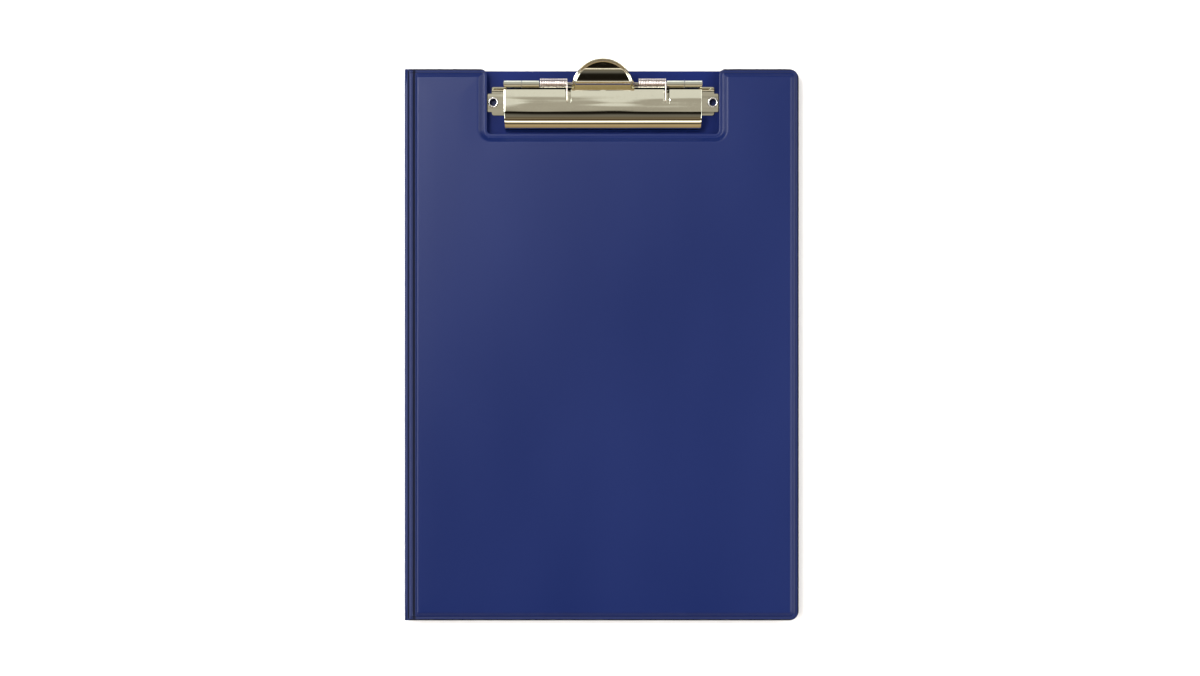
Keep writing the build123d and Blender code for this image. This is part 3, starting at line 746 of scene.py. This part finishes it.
def finish(kind):
    """The material of that name, made on first use from the scene's colours."""
    if kind in bpy.data.materials:
        return bpy.data.materials[kind]
    tones = bpy.context.scene.folder_finishes
    makers = {
        "cover foil": lambda: foil_material(kind, tones.foil, 0.36, 0.25),
        "lining foil": lambda: foil_material(kind, tones.lining, 0.46, 0.25, 0.10),
        "pocket foil": lambda: foil_material(kind, tones.pocket, 0.30, 0.10),
        "grey board": lambda: board_material(kind, tones.board),
        "nickel plate": lambda: plating_material(kind, tones.plate, 0.02, 0.09),
        "rod plate": lambda: plating_material(kind, tones.rod, 0.25, 0.02),
        "rivet plate": lambda: plating_material(kind, tones.rivet, 0.26, 0.02),
        "spring plate": lambda: plating_material(kind, tones.wire, 0.14, 0.02),
    }
    return makers[kind]()


# Operators

class FOLDER_OT_foils(bpy.types.Operator):
    """Build the outer foils of the cover and the back."""
    bl_idname = "folder.foils"
    bl_label = "Outer Foils"

    def execute(self, context):
        sizes = context.scene.folder_foil
        foil = finish("cover foil")
        foil_skin("cover_foil_skin", sizes, foil, "front", "front_outer_foil", True,
                  FRONT_HIGH[1], FRONT_WELD, 1)
        foil_skin("back_foil_skin", sizes, foil, "back", "back_outer_foil", False,
                  BACK_HIGH[1], BACK_WELD, -1)
        return {"FINISHED"}


class FOLDER_OT_spine(bpy.types.Operator):
    """Build the two folds of the spine, between the panels."""
    bl_idname = "folder.spine"
    bl_label = "Spine Folds"

    def execute(self, context):
        sizes = context.scene.folder_foil
        foil = finish("cover foil")
        upper = fold_strip("spine_upper_fold", sizes, foil, 1)
        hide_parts("spine_outer_foil")
        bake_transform(upper)
        lower = fold_strip("spine_lower_fold", sizes, foil, -1)
        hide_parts("spine_inner_foil")
        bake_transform(lower)
        return {"FINISHED"}


class FOLDER_OT_jaw(bpy.types.Operator):
    """Build the clip's jaw with its knuckles and thumb tab."""
    bl_idname = "folder.jaw"
    bl_label = "Clip Jaw"

    def execute(self, context):
        s = context.scene.folder_clip
        half = (JAW_HIGH[0] - JAW_LOW[0]) / 2
        ends = [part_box(n)[1][0] - CLIP_X for n in ("spring_left", "spring_right")]
        slots = [end - LEG_IN_SLOT + s.slot / 2 for end in ends]
        inner = half - 2 * s.knuckle - s.knuckle_gap
        parts = [jaw_plate(s, slots), thumb_tab(s)]
        parts += [jaw_curl(s, -inner - s.knuckle, -inner), jaw_curl(s, inner, inner + s.knuckle)]
        jaw = piece("jaw_sheet", parts, finish("nickel plate"), "jaw")
        thicken(jaw, s.sheet, CUT_EDGE)
        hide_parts("clip_jaw")
        return {"FINISHED"}


class FOLDER_OT_springs(bpy.types.Operator):
    """Wind the two torsion springs."""
    bl_idname = "folder.springs"
    bl_label = "Springs"

    def execute(self, context):
        s = context.scene.folder_spring
        for name in ("spring_left", "spring_right"):
            low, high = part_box(name)
            x0, x1 = low[0] - CLIP_X + s.wire / 2, high[0] - CLIP_X - s.wire / 2
            coil = piece(name + "_wire", [tube(spring_line(s, x0, x1), s.wire / 2)], finish("spring plate"),
                         None)
            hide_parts(name)
            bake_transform(coil)
        return {"FINISHED"}


class FOLDER_OT_rivets(bpy.types.Operator):
    """Turn the two hollow rivets that hold the clip."""
    bl_idname = "folder.rivets"
    bl_label = "Rivets"

    def execute(self, context):
        s = context.scene.folder_clip
        for name in ("rivet_left", "rivet_right"):
            low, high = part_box(name)
            turned = lathe((low[0] + high[0]) / 2, (low[1] + high[1]) / 2, rivet_profile(s))
            made = piece(name + "_turned", [turned], finish("rivet plate"), "back")
            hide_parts(name)
        return {"FINISHED"}


class FOLDER_OT_finishes(bpy.types.Operator):
    """Give the remaining frame pieces their finishes."""
    bl_idname = "folder.finishes"
    bl_label = "Finishes"

    def execute(self, context):
        repaint(["back_inner_foil", "front_inner_foil"], finish("lining foil"))
        repaint(["cover_pocket"], finish("pocket foil"))
        repaint(["back_board", "front_board"], finish("grey board"))
        repaint(["clip_base_plate"], finish("nickel plate"))
        repaint(["hinge_rod"], finish("rod plate"))
        return {"FINISHED"}


def area_light(name, place, aim, size, power):
    """A square soft white light at a place, turned to face a point."""
    lamp = bpy.data.lights.new(name, "AREA")
    lamp.size = size
    lamp.energy = power
    holder = bpy.data.objects.new(name, lamp)
    bpy.context.scene.collection.objects.link(holder)
    way = np.array(aim, float) - np.array(place, float)
    flat = math.hypot(way[0], way[1])
    holder.location = place
    holder.rotation_euler = (math.atan2(flat, -way[2]), 0, math.atan2(-way[0], way[1]))


def studio_world():
    """A plain studio room: bands of light and dark by the angle from overhead, rear positive.

    Each band has its angle in degrees, its red and its blue; green is halfway between."""
    world = bpy.data.worlds.new("studio")
    bpy.context.scene.world = world
    world.use_nodes = True
    tree = world.node_tree
    shade = tree.nodes["Background"]
    shade.inputs["Strength"].default_value = 1.0
    place = node(tree, "ShaderNodeTexCoord")
    split = node(tree, "ShaderNodeSeparateXYZ")
    tilt = node(tree, "ShaderNodeMath", operation="ARCTAN2")
    share = node(tree, "ShaderNodeMapRange", From_Min=-math.pi / 2, From_Max=math.pi / 2)
    ramp = node(tree, "ShaderNodeValToRGB")
    link = tree.links.new
    link(place.outputs["Generated"], split.inputs[0])
    link(split.outputs["Y"], tilt.inputs[0])
    link(split.outputs["Z"], tilt.inputs[1])
    link(tilt.outputs[0], share.inputs["Value"])
    link(share.outputs["Result"], ramp.inputs["Fac"])
    link(ramp.outputs["Color"], shade.inputs["Color"])
    bands = [(-90, 0.34, 0.13), (-75, 0.40, 0.14), (-68.7, 0.52, 0.22), (-62.5, 0.46, 0.18),
             (-59.6, 0.40, 0.15), (-58.7, 0.01, 0.005), (-54.9, 0.01, 0.005), (-54.0, 0.45, 0.24),
             (-50.8, 0.70, 0.38), (-48.2, 0.90, 0.60), (-47.2, 2.8, 2.4), (-43.2, 2.8, 2.4),
             (-42.3, 0.60, 0.38), (-39.7, 0.38, 0.20), (-36.5, 0.09, 0.035), (-33.0, 0.09, 0.035),
             (-29, 0.25, 0.125), (-24, 0.14, 0.07), (-18.8, 0.20, 0.135), (-13.7, 0.17, 0.125),
             (-8.6, 0.105, 0.08), (-5.5, 0.03, 0.02), (-3.5, 0.012, 0.006), (5.2, 0.01, 0.005),
             (5.7, 0.44, 0.33), (7.4, 0.46, 0.35), (7.7, 0.82, 0.70), (12, 0.82, 0.72),
             (42, 0.60, 0.56), (60, 0.45, 0.43), (75, 0.25, 0.25), (90, 0.14, 0.15)]
    stops = ramp.color_ramp.elements
    while len(stops) < len(bands):
        stops.new(0.5)
    for stop, (degrees, red, blue) in zip(stops, bands):
        stop.position = (degrees + 90) / 180
        stop.color = (red, (red + blue) / 2, blue, 1)


class FOLDER_OT_stage(bpy.types.Operator):
    """Set the floor, the lights and the camera."""
    bl_idname = "folder.stage"
    bl_label = "Stage"

    def execute(self, context):
        scene = context.scene
        made, tree, shader = start_material("pale floor")
        shader.inputs["Base Color"].default_value = list(scene.folder_finishes.floor) + [1]
        shader.inputs["Roughness"].default_value = 0.9
        shader.inputs["Specular IOR Level"].default_value = 0.1
        side = np.linspace(-8.0, 8.0, 3)
        under = -0.0002
        plane = np.stack(np.broadcast_arrays(side, side[:, None], under), axis=-1)
        floor = piece("floor", [(plane, grid_faces(len(side), len(side)))], made)
        area_light("left", (-1.5, -0.1, 1.2), (0, 0, 0), 1.6, 36)
        area_light("right", (1.5, -0.1, 1.2), (0, 0, 0), 1.6, 36)
        area_light("high left", (-0.7, 0.62, 1.7), (0, 0.05, 0), 0.6, 24)
        studio_world()
        camera = bpy.data.cameras.new("camera")
        camera.sensor_width = 36.0
        camera.lens = camera.sensor_width * (CAMERA[2] - FRONT_WELD) / (PHOTO_PIXELS * PIXEL)
        holder = bpy.data.objects.new("camera", camera)
        holder.location = CAMERA
        scene.collection.objects.link(holder)
        scene.camera = holder
        scene.view_settings.view_transform = "Standard"
        return {"FINISHED"}


class FOLDER_PT_panel(bpy.types.Panel):
    """The folder's operators and sizes in the sidebar."""
    bl_idname = "FOLDER_PT_panel"
    bl_label = "Clipboard Folder"
    bl_space_type = "VIEW_3D"
    bl_region_type = "UI"
    bl_category = "Clipboard"

    def draw(self, context):
        for operator in OPERATORS:
            self.layout.operator(operator.bl_idname)
        for name in GROUPS:
            group = getattr(context.scene, name)
            box = self.layout.box()
            for key in group.__annotations__:
                box.prop(group, key)


GROUPS = {
    "folder_foil": FoilSizes,
    "folder_clip": ClipSizes,
    "folder_spring": SpringSizes,
    "folder_finishes": Finishes,
}
OPERATORS = [FOLDER_OT_foils, FOLDER_OT_spine, FOLDER_OT_jaw, FOLDER_OT_springs, FOLDER_OT_rivets,
             FOLDER_OT_finishes, FOLDER_OT_stage]


def register():
    """Registers the classes and hangs the sizes on the scene."""
    for kind in [*GROUPS.values(), *OPERATORS, FOLDER_PT_panel]:
        bpy.utils.register_class(kind)
    for name, kind in GROUPS.items():
        setattr(bpy.types.Scene, name, bpy.props.PointerProperty(type=kind))


def unregister():
    """Takes the sizes and the classes away again."""
    for name in GROUPS:
        delattr(bpy.types.Scene, name)
    for kind in [FOLDER_PT_panel, *reversed(OPERATORS), *GROUPS.values()]:
        bpy.utils.unregister_class(kind)


def main():
    """Builds the pieces and the stage in order."""
    register()
    bpy.ops.folder.foils()
    bpy.ops.folder.spine()
    bpy.ops.folder.jaw()
    bpy.ops.folder.springs()
    bpy.ops.folder.rivets()
    bpy.ops.folder.finishes()
    bpy.ops.folder.stage()


if __name__ == "__main__":
    main()
